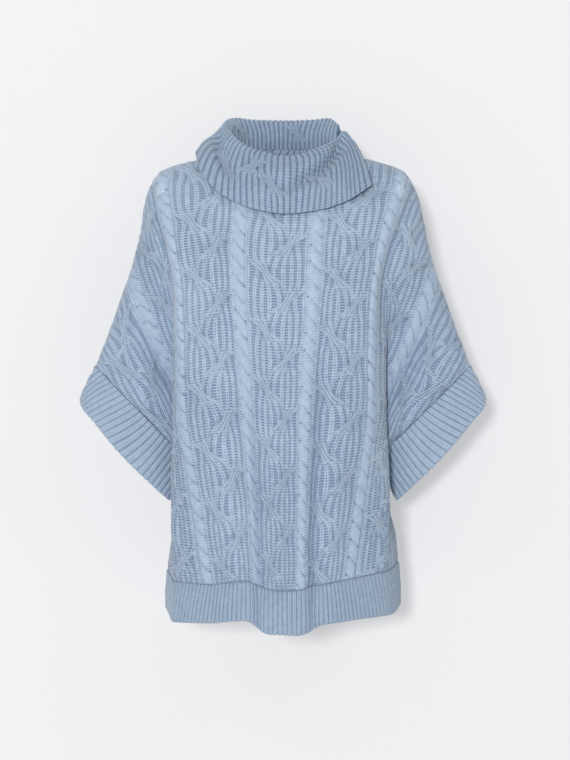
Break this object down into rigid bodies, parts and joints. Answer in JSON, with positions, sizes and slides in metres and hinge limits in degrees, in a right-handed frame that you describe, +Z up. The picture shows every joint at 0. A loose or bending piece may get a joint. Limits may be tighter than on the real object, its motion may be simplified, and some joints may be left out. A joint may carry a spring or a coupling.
{
  "type": "knitted poncho sweater",
  "caption": "Wide cable-knit poncho sweater in its worn, hollow form, with a folded ribbed collar open at one shoulder, ribbed cuffs and a ribbed hem.",
  "frame": {"origin": "the middle of the wearer's shoulders, in the plane between front and back", "axes": "+Z up, -Y the front of the garment, +X the side of the collar's slit"},
  "size_m": [0.6112, 0.2625, 0.7664],
  "materials": {
    "cable_knit": "matt wool in raised braids and ropes",
    "rib_knit": "matt wool in close ribs"
  },
  "bodies": {
    "root": {"front": "cable_knit", "back": "cable_knit", "collar": "rib_knit", "hem_front": "rib_knit", "hem_back": "rib_knit", "cuff_left": "rib_knit", "cuff_right": "rib_knit"}
  },
  "joints": []
}
